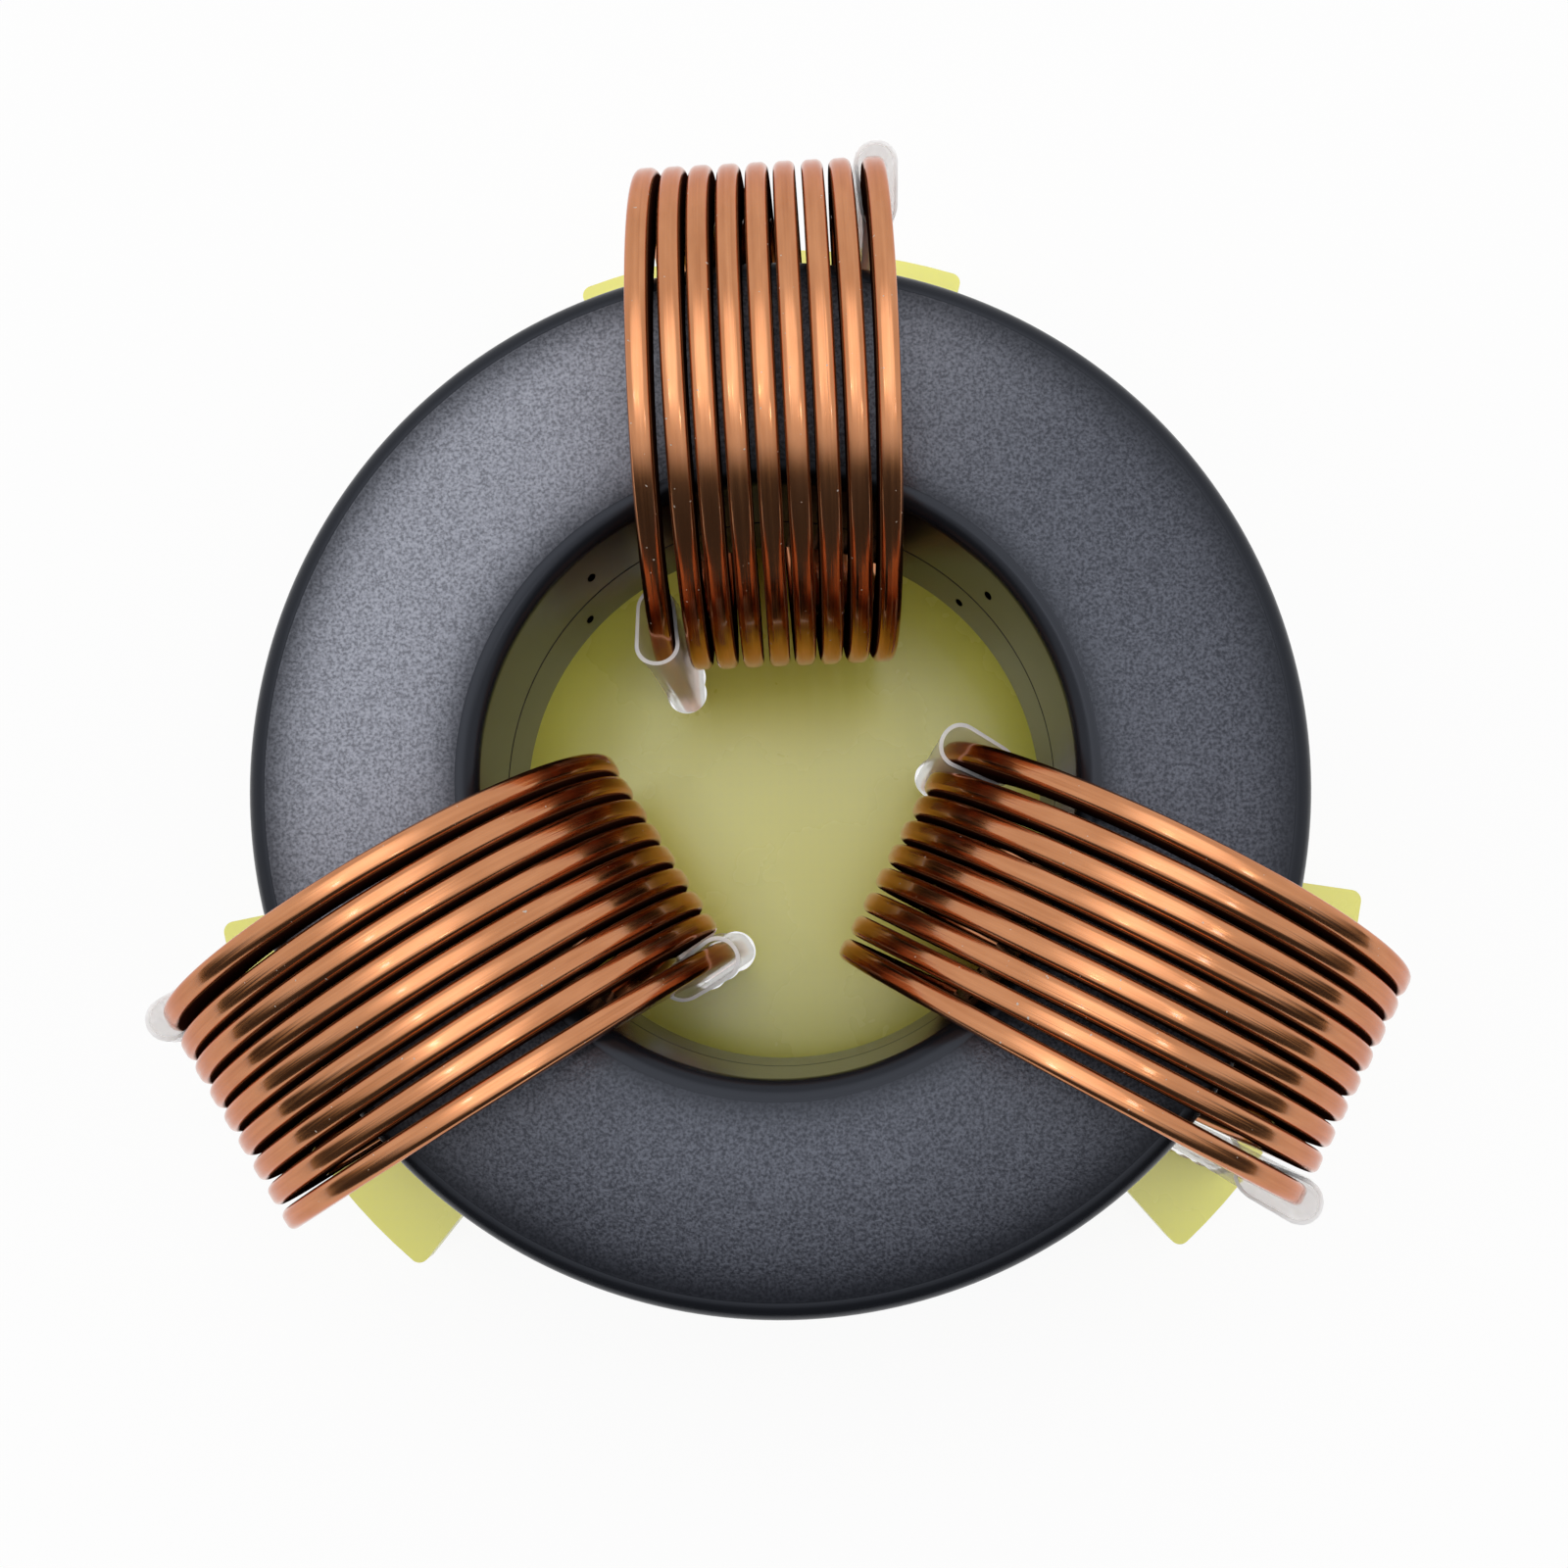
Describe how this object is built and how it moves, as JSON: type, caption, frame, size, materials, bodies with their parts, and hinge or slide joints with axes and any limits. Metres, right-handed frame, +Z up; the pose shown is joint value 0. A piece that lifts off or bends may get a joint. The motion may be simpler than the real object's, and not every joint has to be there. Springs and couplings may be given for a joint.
{
  "type": "common mode choke",
  "caption": "Three-phase common mode choke: cased ring core, edge-wound flat copper coils with sleeved leads, and a tabbed laminate carrier plate for a circuit board.",
  "frame": {"origin": "middle of the carrier plate's underside, the face that lies on the circuit board", "axes": "+Z up along the ring's axis, +Y through the middle of the first winding"},
  "size_m": [0.1114, 0.0998, 0.0498],
  "materials": {
    "laminate": "satin glass-epoxy laminate",
    "case_plastic": "fine moulded grain",
    "core_ribbon": "wound metal ribbon",
    "cushion": "soft matt",
    "enamelled_copper": "clear enamel over copper",
    "sleeve": "translucent white tube"
  },
  "bodies": {
    "root": {"base_plate": "laminate", "case_lower": "case_plastic", "case_upper": "case_plastic", "core": "core_ribbon", "cushion_lower": "cushion", "cushion_upper": "cushion", "winding_u": "enamelled_copper", "winding_v": "enamelled_copper", "winding_w": "enamelled_copper", "inner_sleeve_u": "sleeve", "inner_sleeve_v": "sleeve", "inner_sleeve_w": "sleeve", "outer_sleeve_u": "sleeve", "outer_sleeve_v": "sleeve", "outer_sleeve_w": "sleeve"}
  },
  "joints": []
}
